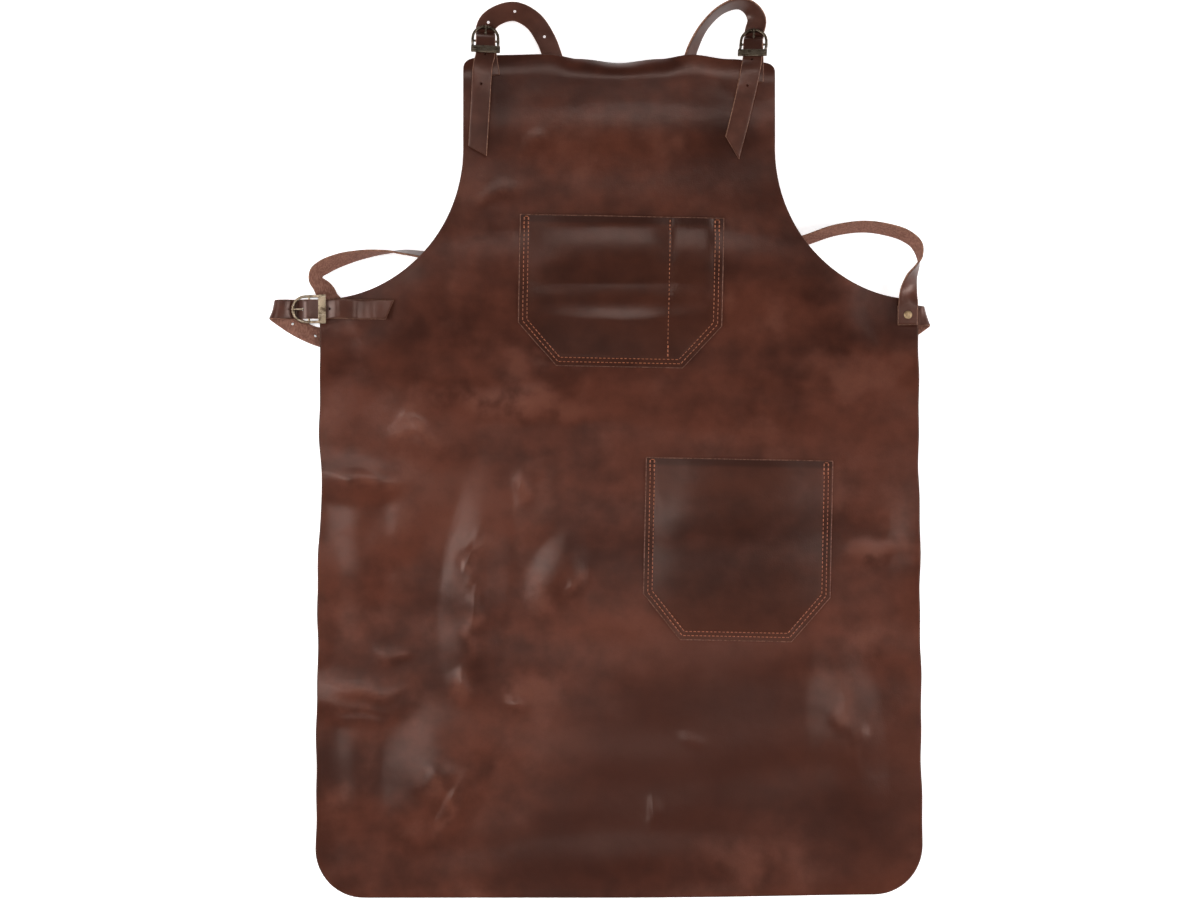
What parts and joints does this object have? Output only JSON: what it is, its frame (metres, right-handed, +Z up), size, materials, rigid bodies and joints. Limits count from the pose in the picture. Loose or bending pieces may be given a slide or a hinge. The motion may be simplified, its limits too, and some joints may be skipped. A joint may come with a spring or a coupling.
{
  "type": "leather work apron",
  "caption": "Leather work apron with bib, chest and hip patch pockets, shoulder straps that cross behind the bib, and a buckled waist strap.",
  "frame": {"origin": "on the floor under the middle of the skirt, on the apron's centre line, where its back lies flat", "axes": "+Y along the centre line towards the bib, +Z up from the floor out of the apron's front, +X to the right as seen from the front"},
  "size_m": [0.6608, 0.8984, 0.0414],
  "materials": {
    "panel_leather": "satin pull-up",
    "pocket_leather": "satin pull-up",
    "strap_leather": "satin, raw edges",
    "aged_brass": "aged, satin"
  },
  "bodies": {
    "root": {"apron_panel": "panel_leather", "chest_pocket": "pocket_leather", "hip_pocket": "pocket_leather", "shoulder_strap_left": "strap_leather", "shoulder_strap_right": "strap_leather", "waist_strap": "strap_leather", "buckle_tab_bib_left": "strap_leather", "buckle_tab_bib_right": "strap_leather", "buckle_tab_waist": "strap_leather", "buckle_frame_bib_left": "aged_brass", "buckle_frame_bib_right": "aged_brass", "buckle_frame_waist": "aged_brass", "buckle_prong_bib_left": "aged_brass", "buckle_prong_bib_right": "aged_brass", "buckle_prong_waist": "aged_brass", "rivet_bib_left": "aged_brass", "rivet_bib_right": "aged_brass", "rivet_waist_left": "aged_brass", "rivet_waist_right": "aged_brass"}
  },
  "joints": []
}
